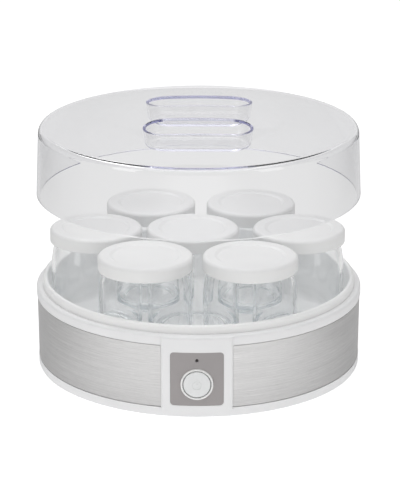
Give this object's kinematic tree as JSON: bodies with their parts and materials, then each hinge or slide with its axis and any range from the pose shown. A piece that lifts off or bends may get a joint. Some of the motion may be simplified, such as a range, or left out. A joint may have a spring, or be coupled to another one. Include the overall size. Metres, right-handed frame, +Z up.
{
  "type": "yogurt maker",
  "caption": "Electric yogurt maker: round base with a warming well, lidded glass jars and a clear lift-off cover with finger pockets.",
  "frame": {"origin": "on the table under the middle of the round base, at the level of the feet's undersides", "axes": "+Z up out of the warming well; the control panel faces -Y and the cord inlet +Y; +X to the right seen from the panel"},
  "size_m": [0.2354, 0.2406, 0.1881],
  "materials": {
    "housing_white": "moulded white polypropylene, satin to gloss",
    "trim_white": "moulded white, gloss ring",
    "button_white": "moulded white, satin",
    "band_steel": "stainless steel, brushed along the band",
    "label_grey": "printed polyester label, satin warm grey",
    "cover_clear": "clear polystyrene, polished",
    "jar_glass": "clear soda-lime glass",
    "lid_white": "moulded white polyethylene, satin",
    "feet_rubber": "grey rubber",
    "screw_steel": "zinc-plated steel",
    "switch_black": "black moulding",
    "light_pipe": "dark smoked light pipe",
    "led_lens": "LED package",
    "board_green": "green solder mask",
    "connector_white": "natural nylon",
    "spreader_aluminium": "mill-finish sheet",
    "heater_silicone": "red-brown silicone over resistance wire",
    "insulation_felt": "needled glass felt",
    "plate_steel": "galvanised steel",
    "relay_blue": "blue relay case",
    "capacitor_yellow": "yellow film capacitor case",
    "lead_silicone": "white silicone lead",
    "grommet_white": "light grey soft PVC"
  },
  "bodies": {
    "base": {"lower_housing": "housing_white", "well": "housing_white", "upper_housing": "housing_white", "rubber_feet": "feet_rubber", "housing_screws": "screw_steel", "steel_band": "band_steel", "panel_label": "label_grey", "button_bezel": "trim_white", "tact_switch": "switch_black", "light_pipe": "light_pipe", "status_led": "led_lens", "control_board": "board_green", "board_connectors": "connector_white", "heat_spreader": "spreader_aluminium", "heating_cord": "heater_silicone", "insulation_pad": "insulation_felt", "heater_clamp_plate": "plate_steel", "clamp_screws": "screw_steel", "thermostat": "plate_steel", "thermal_fuse": "plate_steel", "power_board": "board_green", "power_board_screws": "screw_steel", "relay": "relay_blue", "film_capacitor": "capacitor_yellow", "smoothing_capacitor": "switch_black", "terminal_block": "connector_white", "heater_leads": "lead_silicone", "signal_cable": "lead_silicone", "cord_grommet": "grommet_white"},
    "cover": {"cover": "cover_clear"},
    "power_button": {"power_button": "button_white", "switch_plunger": "switch_black"},
    "jar_front_left": {"jar_front_left": "jar_glass"},
    "jar_lid_front_left": {"jar_lid_front_left": "lid_white"},
    "jar_front_right": {"jar_front_right": "jar_glass"},
    "jar_lid_front_right": {"jar_lid_front_right": "lid_white"},
    "jar_left": {"jar_left": "jar_glass"},
    "jar_lid_left": {"jar_lid_left": "lid_white"},
    "jar_right": {"jar_right": "jar_glass"},
    "jar_lid_right": {"jar_lid_right": "lid_white"},
    "jar_rear_left": {"jar_rear_left": "jar_glass"},
    "jar_lid_rear_left": {"jar_lid_rear_left": "lid_white"},
    "jar_rear_right": {"jar_rear_right": "jar_glass"},
    "jar_lid_rear_right": {"jar_lid_rear_right": "lid_white"},
    "jar_centre": {"jar_centre": "jar_glass"},
    "jar_lid_centre": {"jar_lid_centre": "lid_white"}
  },
  "joints": [
    {"name": "cover_lift", "type": "slide", "parent": "base", "child": "cover", "axis": [0, 0, 1], "range_m": [-0.0672, 0.1]},
    {"name": "power_button_press", "type": "slide", "parent": "base", "child": "power_button", "axis": [0, 1, 0], "range_m": [0, 0.0008], "stiffness_N_per_m": 3000, "springref_m": -0.0002},
    {"name": "jar_front_left_lift", "type": "slide", "parent": "base", "child": "jar_front_left", "axis": [0, 0, 1], "range_m": [0, 0.068]},
    {"name": "jar_lid_front_left_lift", "type": "slide", "parent": "jar_front_left", "child": "jar_lid_front_left", "axis": [0, 0, 1], "range_m": [0, 0.025]},
    {"name": "jar_front_right_lift", "type": "slide", "parent": "base", "child": "jar_front_right", "axis": [0, 0, 1], "range_m": [0, 0.068]},
    {"name": "jar_lid_front_right_lift", "type": "slide", "parent": "jar_front_right", "child": "jar_lid_front_right", "axis": [0, 0, 1], "range_m": [0, 0.025]},
    {"name": "jar_left_lift", "type": "slide", "parent": "base", "child": "jar_left", "axis": [0, 0, 1], "range_m": [0, 0.068]},
    {"name": "jar_lid_left_lift", "type": "slide", "parent": "jar_left", "child": "jar_lid_left", "axis": [0, 0, 1], "range_m": [0, 0.025]},
    {"name": "jar_right_lift", "type": "slide", "parent": "base", "child": "jar_right", "axis": [0, 0, 1], "range_m": [0, 0.068]},
    {"name": "jar_lid_right_lift", "type": "slide", "parent": "jar_right", "child": "jar_lid_right", "axis": [0, 0, 1], "range_m": [0, 0.025]},
    {"name": "jar_rear_left_lift", "type": "slide", "parent": "base", "child": "jar_rear_left", "axis": [0, 0, 1], "range_m": [0, 0.068]},
    {"name": "jar_lid_rear_left_lift", "type": "slide", "parent": "jar_rear_left", "child": "jar_lid_rear_left", "axis": [0, 0, 1], "range_m": [0, 0.025]},
    {"name": "jar_rear_right_lift", "type": "slide", "parent": "base", "child": "jar_rear_right", "axis": [0, 0, 1], "range_m": [0, 0.068]},
    {"name": "jar_lid_rear_right_lift", "type": "slide", "parent": "jar_rear_right", "child": "jar_lid_rear_right", "axis": [0, 0, 1], "range_m": [0, 0.025]},
    {"name": "jar_centre_lift", "type": "slide", "parent": "base", "child": "jar_centre", "axis": [0, 0, 1], "range_m": [0, 0.068]},
    {"name": "jar_lid_centre_lift", "type": "slide", "parent": "jar_centre", "child": "jar_lid_centre", "axis": [0, 0, 1], "range_m": [0, 0.025]}
  ]
}
